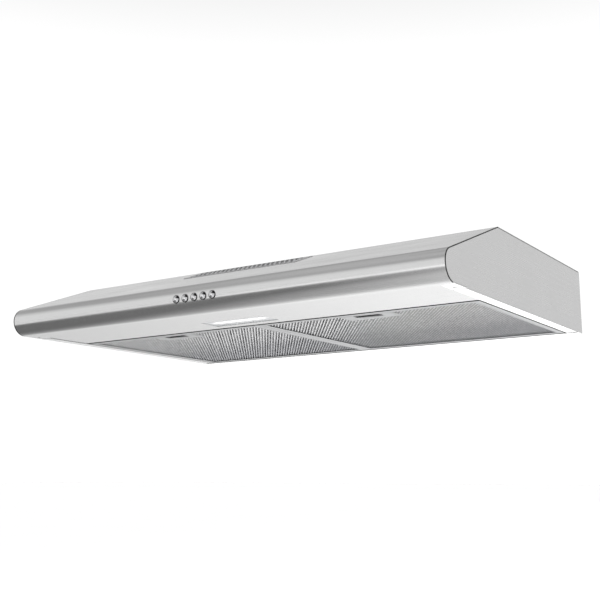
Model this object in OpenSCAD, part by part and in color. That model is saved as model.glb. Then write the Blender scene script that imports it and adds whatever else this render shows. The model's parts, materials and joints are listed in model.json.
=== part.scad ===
// Slim under cabinet range hood: a bent steel canopy with two grease filters underneath,
// two flat fans that blow into one outlet box, a round duct collar on top, a vent grille
// on the sloping front, a lamp, and five push buttons in the nose.
//
// Inside the modules y = 0 is where the flat underside meets the rounded nose, +Y runs to
// the wall and z = 0 is the underside. placed() moves that to the part's own origin, the
// middle of the four cabinet screws on the top face.

/* [Canopy] */
// Width over the canopy's ends
body_w = 760; // [700:5:900]
// Depth from the nose to the wall
body_d = 500; // [496:1:510]
// Height of the canopy
body_h = 100; // [98:1:104]
// Radius of the lower half of the nose
nose_r = 23; // [22:0.5:24]
// Where the sloping front meets the flat top
bend_y = 140.5; // [136:0.5:142]
// Angle of the sloping front
slope_angle = 21; // [20:0.5:22]
// Thickness of the steel sheets
sheet_t = 1; // [0.8:0.1:1.2]
// Depth of the canopy's lip under the nose
lip_d = 35.5; // [30:0.5:40]
// Width of the rims along the two ends
rim_w = 18.5; // [16:0.5:22]
// Depth of the rim along the wall
rear_rim_d = 20; // [18:0.5:24]

/* [Grease filters] */
// Front edge of the filters
filter_front_y = 120; // [119:0.5:122]
// Thickness of a filter
filter_t = 9; // [8:0.5:9.5]
// Width of the frame around the mesh
frame_w = 11; // [8:0.5:14]
// How far the mesh lies inside the frame
mesh_recess = 2; // [1:0.1:3]
// Width of the latch plate
latch_plate_w = 84; // [70:1:100]
// Width of the finger recess
recess_w = 43; // [36:1:50]

/* [Lamp and buttons] */
// Length of the lamp window
lamp_w = 114; // [100:1:130]
// Depth of the lamp window
lamp_d = 40; // [34:1:42]
// Distance between two buttons
button_pitch = 16.2; // [16:0.1:18]
// Radius of a button
button_r = 5.08; // [5.05:0.01:5.12]
// Height of the buttons above the underside
button_z = 21.2; // [20:0.2:23]
// How far a button stands out of the nose
button_proud = 3.5; // [3:0.1:4]

/* [Vent] */
// Width of the vent grille
vent_w = 213; // [190:1:220]
// Length of the grille along the slope
vent_l = 50; // [44:1:54]
// Middle of the grille, left of the hood's middle
vent_x = -12; // [-16:1:0]
// Distance of the grille below the top bend
vent_top = 7; // [6:0.5:10]

/* [Fans] */
// Distance of each fan from the middle
fan_x = 205; // [203:1:207]
// Distance of the fans from the nose line
fan_y = 325; // [320:1:328]
// Outer radius of a fan wheel
wheel_r = 88; // [84:1:89]
// Number of blades on a wheel
blade_count = 36; // [24:1:44]
// Radius of a charcoal filter
charcoal_r = 84; // [80:1:84]

/* [Duct and mounting] */
// Outer radius of the duct collar
collar_r = 59.5; // [58:0.5:60]
// Height of the duct collar above the top
collar_h = 38; // [30:1:42]
// Distance of the collar's middle from the nose line
collar_y = 356; // [352:1:360]
// Cabinet screws, distance along the width
screw_dx = 700; // [640:5:705]
// Cabinet screws, distance along the depth
screw_dy = 250; // [200:5:260]
// Radius of the cabinet screw holes
screw_hole_r = 2.5; // [2:0.25:3]

/* [Hidden] */
$fn = 96;
button_fit = 0.07;
running_fit = 0.05;
through = 2;
back_y = body_d - nose_r;
screw_mid_y = 306;
end_x = body_w / 2;
seam = 0.4;
side_x = end_x - seam;
rim_x = end_x - rim_w;

// the sloping front's line, and the smaller arc that joins it to the nose
slope_b = body_h - bend_y * tan(slope_angle);
top_arc_r = (slope_b - nose_r * (1 + tan(slope_angle))) * cos(slope_angle)
          / (1 - sin(slope_angle));
bend_r = 4;

// underside: lamp panel and filters
panel_y0 = lip_d + 0.8;
panel_y1 = filter_front_y - 4;
panel_z = 0.6;
keeper_top = 24;
lamp_y = 80;
lamp_wall_top = 4;
lens_t = 1.6;
lens_h = 8;
lens_rim = 3;
filter_rear_y = back_y - rear_rim_d - 1;
filter_x0 = 0.4;
filter_x1 = rim_x - 1.7;
filter_mid_x = (filter_x0 + filter_x1) / 2;
filter_l = filter_rear_y - filter_front_y;
frame_t = 0.8;
latch_y1 = filter_front_y + 47;
recess_y0 = filter_front_y + 16.5;
recess_y1 = recess_y0 + 15;
slider_y1 = latch_y1 - 9;
tongue_x = 14;
tongue_z = [4.9, 6.9];
mesh_layers = 5;
layer_t = 0.4;
tab_dx = 110;
tab = [24, 8.8];

// buttons, counted from the left
BUTTONS = [0, 1, 2, 3, 4];
nose_hole_r = 5.95;
guide_w = 5 * button_pitch + 8;
guide_back_y = -8;
shoulder_y = -12.8;
flange_r = 6.3;
spring_y = -10.8;
bank_y = -4;
bank_x = guide_w / 2 - 2;
stem_r = 2;

// air path
plate_z = 28;
plate_t = 2;
housing_top = 96.4;
scroll_r = 100;
scroll_step = 9;
tongue_y = 70;
box_x = 71.5;
box_y0 = 144.6;
box_y1 = 460;
wall_t = 2;
box_top = 98.4;
motor_r = 43;
motor_z0 = 52;
motor_z1 = housing_top - plate_t;
motor_screw_r = 30;
shaft_r = 4;
wheel_z0 = 34;
wheel_z1 = 84;
shaft_z0 = 38;
can_skin = 1.5;
bush_l = 6;
bush_r = 9;
stator_z = [62, 84];
stator_r = 25;
charcoal_lug_z = 23.8;
flap_y = 155;
flap_z = 37;
flap_shaft_r = 2.5;
collar_flange_r = 76;
screw_r = 1.75;
pin_z = body_h + 4;
pin_r = 1.5;
knuckle_r = 2.6;
knuckle_l = 18;
knuckle_x = [-50, 6];

// mains box beside the left fan, and the capacitors in front of it
mains_x = -345.6;
mains_y = 335;
mains_w = 34;
mains_l = 80;
mains_z0 = 60;
mains_z1 = body_h - sheet_t;
mains_ear = 8;
cover_t = 1.2;
gland_r = 4.5;
gland_neck_r = 8;
gland_nut_r = 11;
capacitor_x = 352;
capacitor_y = 206;

STEEL = "#d6d6d4";
ALUMINIUM = "#bcbdbf";
BLACK = "#26262a";
ZINC = "#b9bdc2";

// ---- placing and shared shapes ----

module placed() {
  translate([0, -screw_mid_y, -body_h]) children();
}

// side is 1 on the right and -1 on the left
module on_side(side) {
  mirror([side < 0 ? 1 : 0, 0, 0]) children();
}

// extrudes a y-z outline along x, centred
module along_x(length) {
  rotate([90, 0, 90]) linear_extrude(length, center = true) children();
}

// x across, y up the slope from the top bend (negative is down), z out of the sheet
module on_slope() {
  translate([0, bend_y, body_h]) rotate([slope_angle, 0, 0]) children();
}

// a round bar along +y from y = start
module rod_y(start, length, r) {
  translate([0, start, 0]) rotate([-90, 0, 0]) cylinder(h = length, r = r);
}

module box(x0, x1, y0, y1, z0, z1) {
  translate([x0, y0, z0]) cube([x1 - x0, y1 - y0, z1 - z0]);
}

module ring(r_in, r_out, z0, z1) {
  translate([0, 0, z0]) rotate_extrude() translate([r_in, 0]) square([r_out - r_in, z1 - z0]);
}

// a box with a rectangular hole down through it
module frame_box(x0, x1, y0, y1, z0, z1, wall) {
  difference() {
    box(x0, x1, y0, y1, z0, z1);
    box(x0 + wall, x1 - wall, y0 + wall, y1 - wall, z0 - through, z1 + through);
  }
}

// side view of the canopy, set in by inset all round except at the wall
module hood_outline(inset, wall_y) {
  normal = [-sin(slope_angle), cos(slope_angle)];
  nose_c = [0, nose_r];
  top_c = [top_arc_r - nose_r, nose_r];
  bend_c = [bend_y + bend_r * tan(slope_angle / 2), body_h - bend_r];
  polygon([
    [0, inset], [wall_y, inset], [wall_y, body_h - inset], [bend_c[0], body_h - inset],
    bend_c + (bend_r - inset) * normal, top_c + (top_arc_r - inset) * normal,
    top_c, nose_c]);
  intersection() {
    translate(nose_c) circle(nose_r - inset);
    translate([-nose_r, 0]) square(nose_r);
  }
  translate(top_c) circle(top_arc_r - inset);
  translate(bend_c) circle(bend_r - inset);
}

// a wire wound round the y axis, one closed tube
function coil_point(i, steps, turns, length, coil_r, wire_r) =
  let (a = 360 * turns * i / steps, y = wire_r + (length - 2 * wire_r) * i / steps)
  [coil_r * cos(a), y, coil_r * sin(a)];

module coil_y(start, length, coil_r, wire_r, turns) {
  sides = 5;
  steps = turns * 10;
  points = [for (i = [0:steps]) let (
      c = coil_point(i, steps, turns, length, coil_r, wire_r),
      a = 360 * turns * i / steps)
    for (k = [0:sides - 1]) let (b = 360 * k / sides)
      c + wire_r * [cos(b) * cos(a), sin(b), cos(b) * sin(a)]];
  walls = [for (i = [0:steps - 1]) for (k = [0:sides - 1]) let (n = (k + 1) % sides)
    [i * sides + k, i * sides + n, (i + 1) * sides + n, (i + 1) * sides + k]];
  first = [for (k = [sides - 1:-1:0]) k];
  last = [for (k = [0:sides - 1]) steps * sides + k];
  translate([0, start, 0]) polyhedron(points, concat([first], walls, [last]), convexity = 8);
}

// ---- canopy ----

module screw_places() {
  for (sx = [-1, 1]) for (sy = [-1, 1])
    translate([sx * screw_dx / 2, screw_mid_y + sy * screw_dy / 2, 0]) children();
}

module button_place(i) {
  translate([(i - 2) * button_pitch, 0, button_z]) children();
}

module vent_opening(margin, depth) {
  on_slope() translate([vent_x - vent_w / 2 + margin, -vent_top - vent_l + margin, -depth])
    cube([vent_w - 2 * margin, vent_l - 2 * margin, 2 * depth]);
}

module canopy_shell() {
  hem_h = 8;
  slot = [2.5, 5.5];
  color(STEEL) placed() difference() {
    union() {
      along_x(body_w) difference() {
        hood_outline(0, back_y);
        hood_outline(sheet_t, back_y + through);
        translate([lip_d, -through]) square([body_d, through + sheet_t + 1]);
      }
      box(-end_x + 3, end_x - 3, lip_d - sheet_t, lip_d, sheet_t, sheet_t + hem_h);
    }
    translate([0, 0, body_h - 5]) screw_places() cylinder(h = 10, r = screw_hole_r);
    translate([0, collar_y, body_h - 5]) cylinder(h = 10, r = collar_r - sheet_t);
    translate([mains_x, mains_y, body_h - 5]) cylinder(h = 10, r = gland_neck_r + 0.2);
    vent_opening(3.5, 5);
    for (i = BUTTONS) button_place(i) rod_y(-nose_r - through, 6, nose_hole_r);
    for (side = [-1, 1]) translate([side * (end_x - 9.5) - slot[0] / 2, 19, -through])
      cube([slot[0], slot[1], 4]);
  }
}

module side_panel(side) {
  inset = sheet_t + seam;
  rim_end = back_y - rear_rim_d - seam;
  flange_w = 16;
  flange_end = back_y - 5;
  top_z = body_h - inset;
  color(STEEL) placed() on_side(side) difference() {
    union() {
      translate([side_x - sheet_t / 2, 0, 0]) along_x(sheet_t) {
        hood_outline(inset, back_y);
        translate([panel_y0, 0]) square([back_y - panel_y0, inset]);
      }
      box(rim_x, side_x - sheet_t / 2, panel_y0, rim_end, 0, sheet_t);
      box(side_x - flange_w, side_x - sheet_t / 2, bend_y + 20, flange_end,
          top_z - sheet_t, top_z);
    }
    translate([end_x - 12, rim_end - 14, -through]) cube([8, 2.5, 4]);
  }
}

module side_panel_left() { side_panel(-1); }
module side_panel_right() { side_panel(1); }

module back_panel() {
  x = side_x - sheet_t - 0.2;
  color(STEEL) placed() {
    box(-x, x, back_y - sheet_t, back_y, 0, body_h - sheet_t);
    box(-x, x, back_y - rear_rim_d, back_y - sheet_t, 0, sheet_t);
  }
}

module lamp_panel() {
  x = rim_x - 0.8;
  top = panel_z + sheet_t;
  color(STEEL) placed() difference() {
    union() {
      box(-x, x, panel_y0, panel_y1, panel_z, top);
      box(-x, x, panel_y0, panel_y0 + sheet_t, top, 9);
      box(-x, x, panel_y1 - sheet_t, panel_y1, top, keeper_top);
      box(-lamp_w / 2 - 1, lamp_w / 2 + 1, lamp_y - lamp_d / 2 - 1, lamp_y + lamp_d / 2 + 1,
          top, lamp_wall_top);
    }
    box(-lamp_w / 2, lamp_w / 2, lamp_y - lamp_d / 2, lamp_y + lamp_d / 2, -through, 6);
    for (side = [-1, 1]) translate([side * filter_mid_x, 0, 0])
      box(-tongue_x - 3, tongue_x + 3, panel_y1 - 3, panel_y1 + 1,
          tongue_z[0] - 0.9, tongue_z[1] + 0.7);
  }
}

module centre_rail() {
  z = filter_t + 1.6;
  x = 14;
  t = 1.5;
  color(ZINC) placed() {
    box(-x, x, panel_y1, back_y - sheet_t, z, z + t);
    for (side = [-1, 1]) on_side(side) box(x - t, x, panel_y1 + 8, back_y - 8, z + t, z + 8);
  }
}

module vent_grille() {
  rows = 6;
  columns = 23;
  pitch = [8.6, 7];
  slot = [5.8, 4.4];
  rim = 3.7;
  proud = 0.7;
  depth = 4;
  mid = -vent_top - vent_l / 2;
  color("#6f7073") placed() on_slope() translate([vent_x, mid, 0]) difference() {
    union() {
      box(-vent_w / 2, vent_w / 2, -vent_l / 2, vent_l / 2, 0, proud);
      box(-vent_w / 2 + rim, vent_w / 2 - rim, -vent_l / 2 + rim, vent_l / 2 - rim, -depth, 0);
    }
    for (row = [0:rows - 1]) let (last = columns - 1 - row % 2) for (column = [0:last])
      translate([(column - last / 2) * pitch[0] - slot[0] / 2,
                 (row - (rows - 1) / 2) * pitch[1] - slot[1] / 2, -depth - 1])
        cube([slot[0], slot[1], depth + proud + 2]);
  }
}

// ---- lamp ----

module lamp_lens() {
  x = lamp_w / 2 + lens_rim;
  y = lamp_d / 2 + lens_rim;
  color("#f4f6fa") placed() translate([0, lamp_y, lamp_wall_top]) difference() {
    box(-x, x, -y, y, 0, lens_h);
    box(-x + lens_t, x - lens_t, -y + lens_t, y - lens_t, lens_t, lens_h + 1);
  }
}

module lamp_board() {
  x = lamp_w / 2 + lens_rim;
  chips = 12;
  chip_pitch = 8.6;
  z = lamp_wall_top + lens_h;
  color("#e8eae6") placed() translate([0, lamp_y, z]) {
    box(-x, x, -16, 16, 0, 1.2);
    for (i = [0:chips - 1]) translate([(i - (chips - 1) / 2) * chip_pitch, 0, 0])
      box(-1.8, 1.8, -1.4, 1.4, -0.8, 0);
  }
}

module lamp_driver() {
  size = [86, 32, 20];
  ear = 8;
  color("#ededea") placed() translate([112, 56, panel_z + sheet_t]) {
    cube(size);
    for (x = [-ear, size[0]]) translate([x, ear, 0]) cube([ear, size[1] - 2 * ear, 2.4]);
  }
}

// ---- buttons ----

module button_guide() {
  x = guide_w / 2;
  z0 = button_z - 10;
  z1 = button_z + 10.8;
  color(BLACK) placed() difference() {
    union() {
      intersection() {
        along_x(guide_w) hood_outline(sheet_t + 0.25, back_y);
        box(-x, x, -nose_r, guide_back_y, z0, z1);
      }
      for (side = [-1, 1]) on_side(side) box(bank_x, x, guide_back_y - 2, bank_y + 8, z0, z1);
      for (i = BUTTONS) button_place(i) rod_y(-nose_r - 0.5, 4, nose_hole_r - 0.15);
    }
    for (i = BUTTONS) button_place(i) {
      rod_y(-nose_r - through, nose_r, button_r + button_fit);
      rod_y(shoulder_y, -shoulder_y, flange_r + 0.4);
    }
  }
}

module switch_bank() {
  bank_back_y = 11;
  blade = [0.8, 6, 6];
  color("#3c3e46") placed() difference() {
    union() {
      box(-bank_x, bank_x, bank_y, bank_back_y, button_z - 11.2, button_z + 11.8);
      for (i = BUTTONS) button_place(i) for (z = [-6, 6])
        translate([-blade[0] / 2, bank_back_y, z - blade[2] / 2]) cube(blade);
    }
    for (i = BUTTONS) button_place(i) rod_y(bank_y - 1, 5, stem_r + 0.5);
  }
}

module push_button(i) {
  tip = -nose_r - button_proud;
  flange_y = shoulder_y + 0.4;
  color("#e9e9ea") placed() button_place(i) {
    rod_y(tip, flange_y - tip, button_r);
    rod_y(flange_y, spring_y - flange_y, flange_r);
    rod_y(spring_y, 6, stem_r);
  }
}

module button_off() { push_button(0); }
module button_low() { push_button(1); }
module button_mid() { push_button(2); }
module button_high() { push_button(3); }
module button_lamp() { push_button(4); }

module button_spring(i) {
  gap = 0.05;
  length = bank_y - spring_y - 2 * gap;
  color(ZINC) placed() button_place(i) coil_y(spring_y + gap, length, 3.4, 0.35, 4);
}

module spring_off() { button_spring(0); }
module spring_low() { button_spring(1); }
module spring_mid() { button_spring(2); }
module spring_high() { button_spring(3); }
module spring_lamp() { button_spring(4); }

// ---- mains ----

module cover_screw_places() {
  for (y = [-1, 1]) translate([0, y * (mains_l / 2 + mains_ear / 2), mains_z0]) children();
}

module mains_box() {
  x = mains_w / 2;
  y = mains_l / 2;
  color("#d9dad8") placed() translate([mains_x, mains_y, 0]) difference() {
    union() {
      box(-x, x, -y, y, mains_z0, mains_z1);
      box(-mains_ear, mains_ear, -y - mains_ear, y + mains_ear, mains_z0, mains_z0 + 4);
    }
    box(-x + wall_t, x - wall_t, -y + wall_t, y - wall_t, mains_z0 - 1, mains_z1 - wall_t);
    translate([0, 0, mains_z1 - 5]) cylinder(h = 8, r = gland_neck_r + 0.2);
    cover_screw_places() translate([0, 0, -1]) cylinder(h = 4, r = screw_r);
  }
}

module mains_box_cover() {
  x = mains_w / 2;
  y = mains_l / 2 + mains_ear;
  color(ZINC) placed() translate([mains_x, mains_y, 0]) difference() {
    box(-x, x, -y, y, mains_z0 - cover_t, mains_z0);
    cover_screw_places() translate([0, 0, -3]) cylinder(h = 4, r = screw_r + 0.15);
  }
}

module cable_gland() {
  nut_z = mains_z1 - wall_t;
  flange_h = 2.5;
  color(BLACK) placed() translate([mains_x, mains_y, 0]) {
    ring(gland_r, gland_neck_r, nut_z - 3, body_h + flange_h);
    ring(gland_r, gland_nut_r + 1, body_h, body_h + flange_h);
    ring(gland_r, gland_nut_r, nut_z - 3, nut_z);
  }
}

module run_capacitors() {
  can_r = 14;
  pin_l = 6;
  color("#e4e4e0") placed() for (side = [-1, 1])
    translate([side * capacitor_x, capacitor_y, body_h - can_r - 4]) {
      rod_y(0, 50, can_r);
      for (x = [-6, 6]) translate([x, 0, 0]) rod_y(-pin_l, pin_l, 1.5);
    }
}

// ---- duct collar ----

module collar_screw_places() {
  for (a = [45:90:315]) translate([0, collar_y, body_h + sheet_t]) rotate([0, 0, a])
    translate([(collar_r + collar_flange_r) / 2, 0, 0]) children();
}

module duct_collar() {
  color(ZINC) placed() translate([0, collar_y, 0]) difference() {
    union() {
      ring(collar_r - sheet_t, collar_r, body_h, body_h + collar_h);
      ring(collar_r - sheet_t, collar_flange_r, body_h, body_h + sheet_t);
    }
    translate([-collar_r - 5, 0, pin_z]) rotate([0, 90, 0])
      cylinder(h = 2 * collar_r + 10, r = pin_r);
    translate([0, -collar_y, -2]) collar_screw_places() cylinder(h = 4, r = screw_r + 0.15);
  }
}

module damper_pin() {
  color(ZINC) placed() translate([-collar_r, collar_y, pin_z]) rotate([0, 90, 0])
    cylinder(h = 2 * collar_r, r = pin_r);
}

// a half-moon plate in front of the pin with its two knuckles
module damper_flap() {
  plate_r = collar_r - sheet_t - 1.5;
  plate_y = -knuckle_r - 0.6;
  half_t = 0.5;
  difference() {
    union() {
      intersection() {
        translate([0, 0, -half_t]) cylinder(h = 2 * half_t, r = plate_r);
        box(-plate_r, plate_r, -plate_r, plate_y, -1, 1);
      }
      for (x = knuckle_x) {
        translate([x, 0, 0]) rotate([0, 90, 0]) cylinder(h = knuckle_l, r = knuckle_r);
        box(x, x + knuckle_l, plate_y - 1.3, 0, -half_t, half_t);
      }
    }
    translate([-plate_r, 0, 0]) rotate([0, 90, 0])
      cylinder(h = 2 * plate_r, r = pin_r + running_fit);
  }
}

module damper_flap_front() {
  color("#4a4c50") placed() translate([0, collar_y, pin_z]) damper_flap();
}

module damper_flap_rear() {
  color("#4a4c50") placed() translate([0, collar_y, pin_z]) rotate([0, 0, 180]) damper_flap();
}

module pan_screw(length) {
  cylinder(h = 2, r = 2 * screw_r - 0.1);
  translate([0, 0, -length]) cylinder(h = length, r = screw_r);
}

module pan_screws() {
  color(ZINC) placed() {
    collar_screw_places() pan_screw(sheet_t - 0.1);
    translate([mains_x, mains_y, -cover_t]) cover_screw_places() mirror([0, 0, 1])
      pan_screw(3.5);
  }
}

// ---- air path ----

module outlet_box() {
  window_y0 = fan_y + tongue_y + wall_t;
  window_y1 = fan_y + scroll_r + 3.5 * scroll_step - wall_t;
  inner_x = box_x - wall_t;
  color("#9ea1a5") placed() difference() {
    box(-box_x, box_x, box_y0, box_y1, plate_z, box_top);
    box(-inner_x, inner_x, box_y0 - 1, box_y1 - wall_t, plate_z + wall_t, box_top + 1);
    box(-box_x - 1, box_x + 1, window_y0, window_y1, plate_z + wall_t, motor_z1);
    translate([-box_x - 1, flap_y, flap_z]) rotate([0, 90, 0])
      cylinder(h = 2 * box_x + 2, r = flap_shaft_r + running_fit);
  }
}

module vent_duct() {
  x0 = vent_x - vent_w / 2 - 2.5;
  x1 = vent_x + vent_w / 2 + 2.5;
  y0 = 82;
  y1 = box_y0 - 0.1;
  z0 = plate_z + 2;
  inner_x = box_x - wall_t;
  color("#9ea1a5") placed() difference() {
    intersection() {
      translate([vent_x, 0, 0]) along_x(x1 - x0) hood_outline(sheet_t + 0.3, back_y);
      box(x0, x1, y0, y1, z0, body_h);
    }
    box(x0 + wall_t, x1 - wall_t, y0 + wall_t, y1 - wall_t, z0 + wall_t, body_h);
    box(-inner_x, inner_x, y1 - wall_t - 1, y1 + 1, z0 + wall_t, body_h);
  }
}

module vent_flap() {
  x = box_x - wall_t - 0.7;
  half_t = 0.75;
  flap_h = 56;
  color("#55585c") placed() translate([0, flap_y, flap_z]) {
    translate([-box_x - 3, 0, 0]) rotate([0, 90, 0])
      cylinder(h = 2 * box_x + 12, r = flap_shaft_r);
    box(-x, x, -half_t, half_t, 0, flap_h);
  }
}

module flap_lever() {
  lever_l = 22;
  lever_t = 3;
  color("#c8322b") placed() translate([box_x + 3.5, flap_y, flap_z]) difference() {
    union() {
      rotate([0, 90, 0]) cylinder(h = lever_t, r = 2 * flap_shaft_r);
      box(0, lever_t, 0, lever_l, -flap_shaft_r, flap_shaft_r);
      translate([0, lever_l, 0]) rotate([0, 90, 0]) cylinder(h = lever_t, r = 3.5);
    }
    translate([-1, 0, 0]) rotate([0, 90, 0]) cylinder(h = lever_t + 2, r = flap_shaft_r);
  }
}

// ---- fans ----

// plan of the spiral round a fan; it blows towards -x and each quarter is a wider arc
module scroll_outline(inset) {
  half = scroll_step / 2;
  corners = [[-half, -half], [half, -half], [half, half], [-half, half]];
  top = half + scroll_r + 3 * scroll_step;
  big = 2 * scroll_r;
  square(scroll_step, center = true);
  for (q = [0:3]) intersection() {
    translate(corners[q]) circle(scroll_r + q * scroll_step - inset);
    translate(corners[q]) rotate([0, 0, 90 * (q + 1)]) square(big);
  }
  translate([box_x - fan_x + 0.2 - inset, tongue_y + inset])
    square([fan_x - box_x + inset, top - tongue_y - 2 * inset]);
}

module at_fan(side) {
  on_side(side) translate([fan_x, fan_y, 0]) children();
}

module motor_screw_places() {
  for (a = [90:120:330]) rotate([0, 0, a]) translate([motor_screw_r, 0, 0]) children();
}

module fan_housing(side) {
  z0 = plate_z + plate_t;
  color("#84878c") placed() at_fan(side) difference() {
    translate([0, 0, z0]) linear_extrude(housing_top - z0) scroll_outline(0);
    translate([0, 0, z0 - 1]) linear_extrude(motor_z1 - z0 + 1) scroll_outline(wall_t);
    motor_screw_places() translate([0, 0, motor_z1 - 1]) cylinder(h = 5, r = screw_r + 0.25);
  }
}

module fan_housing_left() { fan_housing(-1); }
module fan_housing_right() { fan_housing(1); }

module inlet_plate(side) {
  eye_r = 69;
  hook_r = charcoal_r + 6.5;
  hook_y = 9;
  hook_z = charcoal_lug_z - 2;
  color("#84878c") placed() at_fan(side) {
    difference() {
      union() {
        translate([0, 0, plate_z]) linear_extrude(plate_t) scroll_outline(0);
        ring(eye_r, eye_r + 2, plate_z, plate_z + 10);
      }
      translate([0, 0, plate_z - 1]) cylinder(h = 20, r = eye_r);
    }
    for (a = [0:120:240]) rotate([0, 0, a]) {
      box(hook_r, hook_r + 2.5, -hook_y, hook_y, hook_z, plate_z + plate_t);
      box(hook_r - 4, hook_r + 1, -hook_y, hook_y, hook_z, hook_z + 1.5);
    }
  }
}

module inlet_plate_left() { inlet_plate(-1); }
module inlet_plate_right() { inlet_plate(1); }

module motor_can(side) {
  hole_r = shaft_r + can_skin;
  low = motor_z0 + can_skin;
  high = motor_z1 - can_skin;
  color("#a9adb3") placed() at_fan(side) difference() {
    union() {
      ring(motor_r - can_skin, motor_r, motor_z0, motor_z1);
      ring(hole_r, motor_r, motor_z0, low);
      ring(hole_r, motor_r, high, motor_z1);
      ring(bush_r, bush_r + 2.5, low, low + bush_l);
      ring(bush_r, bush_r + 2.5, high - bush_l, high);
    }
    motor_screw_places() translate([0, 0, motor_z1 - 3]) cylinder(h = 5, r = screw_r + 0.25);
  }
}

module motor_can_left() { motor_can(-1); }
module motor_can_right() { motor_can(1); }

module motor_bushes() {
  low = motor_z0 + can_skin;
  high = motor_z1 - can_skin;
  color("#c9a25a") placed() for (side = [-1, 1]) at_fan(side) {
    ring(shaft_r + running_fit, bush_r, low, low + bush_l);
    ring(shaft_r + running_fit, bush_r, high - bush_l, high);
  }
}

module motor_stators() {
  color("#b0713a") placed() for (side = [-1, 1]) at_fan(side)
    ring(stator_r, motor_r - can_skin, stator_z[0], stator_z[1]);
}

module motor_screws() {
  color(ZINC) placed() for (side = [-1, 1]) at_fan(side) motor_screw_places()
    translate([0, 0, housing_top]) pan_screw(plate_t + can_skin - 0.1);
}

module rotor(side) {
  color("#8d9096") placed() at_fan(side) {
    translate([0, 0, shaft_z0]) cylinder(h = motor_z1 - can_skin - 1 - shaft_z0, r = shaft_r);
    ring(shaft_r, stator_r - 0.6, stator_z[0] + 1, stator_z[1] - 1);
  }
}

module rotor_left() { rotor(-1); }
module rotor_right() { rotor(1); }

module fan_wheel(side) {
  blade_t = 1.3;
  blade_in = 73;
  blade_pitch = 35;
  plate = 2;
  hub_r = 10;
  cup_r = motor_r + 5.5;
  cup_z = motor_z0 - 6;
  color("#3a3d42") placed() at_fan(side) {
    ring(shaft_r, hub_r, shaft_z0, motor_z0 - 2);
    ring(hub_r, cup_r, cup_z, cup_z + plate);
    ring(cup_r - plate, cup_r, cup_z + plate, wheel_z1 - plate);
    ring(cup_r - plate, wheel_r, wheel_z1 - plate, wheel_z1);
    ring(wheel_r - 8, wheel_r, wheel_z0, wheel_z0 + plate);
    intersection() {
      for (i = [0:blade_count - 1]) rotate([0, 0, i * 360 / blade_count])
        translate([wheel_r - 3, 0, 0]) rotate([0, 0, blade_pitch])
          box(-16, 6, -blade_t / 2, blade_t / 2, wheel_z0 + 1, wheel_z1 - 1);
      ring(blade_in, wheel_r - 0.2, wheel_z0, wheel_z1);
    }
  }
}

module fan_wheel_left() { fan_wheel(-1); }
module fan_wheel_right() { fan_wheel(1); }

module charcoal_filter(side) {
  z0 = filter_t + 4.5;
  z1 = plate_z - 0.6;
  color("#2b2c2e") placed() at_fan(side) {
    difference() {
      translate([0, 0, z0]) cylinder(h = z1 - z0, r = charcoal_r);
      for (r = [16:9:70]) ring(r, r + 5, z0 - 1, z0 + 1.5);
    }
    for (a = [0:120:240]) rotate([0, 0, a])
      box(charcoal_r - 1, charcoal_r + 5.5, -8, 8, charcoal_lug_z, charcoal_lug_z + 1.6);
  }
}

module charcoal_filter_left() { charcoal_filter(-1); }
module charcoal_filter_right() { charcoal_filter(1); }

// ---- grease filters ----

module filter_frame(side) {
  x0 = filter_x0;
  x1 = filter_x1;
  y0 = filter_front_y;
  y1 = filter_rear_y;
  hem = 8;
  color(ALUMINIUM) placed() on_side(side) difference() {
    union() {
      frame_box(x0, x1, y0, y1, 0, filter_t, frame_t);
      frame_box(x0, x1, y0, y1, 0, frame_t, frame_w);
      frame_box(x0, x1, y0, y1, filter_t - frame_t, filter_t, hem);
      for (dx = [-tab_dx, tab_dx]) translate([filter_mid_x + dx, y1 - frame_t, sheet_t + 0.6])
        box(-tab[0] / 2, tab[0] / 2, 0, tab[1], 0, 1);
    }
    box(filter_mid_x - tongue_x - 1, filter_mid_x + tongue_x + 1,
        y0 - 1, y0 + frame_t + 0.1, tongue_z[0] - 0.5, tongue_z[1] + 0.6);
  }
}

module filter_frame_left() { filter_frame(-1); }
module filter_frame_right() { filter_frame(1); }

module filter_mesh(side) {
  pitch = (filter_t - frame_t - 0.1 - mesh_recess - layer_t) / (mesh_layers - 1);
  edge = frame_t + 0.2;
  notch_x = latch_plate_w / 2 + 1;
  color("#a7a9ac") placed() on_side(side) for (i = [0:mesh_layers - 1]) difference() {
    box(filter_x0 + edge, filter_x1 - edge, filter_front_y + edge, filter_rear_y - edge,
        mesh_recess + i * pitch, mesh_recess + i * pitch + layer_t);
    box(filter_mid_x - notch_x, filter_mid_x + notch_x, filter_front_y - 1, latch_y1 + 1,
        0, filter_t);
  }
}

module filter_mesh_left() { filter_mesh(-1); }
module filter_mesh_right() { filter_mesh(1); }

module latch_plate(side) {
  x = latch_plate_w / 2;
  y0 = filter_front_y + frame_w + 0.1;
  rim = 1;
  color(ALUMINIUM) placed() on_side(side) translate([filter_mid_x, 0, 0]) difference() {
    union() {
      box(-x, x, y0, latch_y1, 0, frame_t);
      frame_box(-x, x, y0, latch_y1, frame_t, filter_t - frame_t - 0.1, rim);
    }
    box(-recess_w / 2, recess_w / 2, recess_y0, recess_y1, -1, 2);
    box(-tongue_x - 1, tongue_x + 1, y0 - 1, y0 + rim + 1, tongue_z[0] - 0.5, tongue_z[1] + 0.6);
  }
}

module latch_plate_left() { latch_plate(-1); }
module latch_plate_right() { latch_plate(1); }

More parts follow.
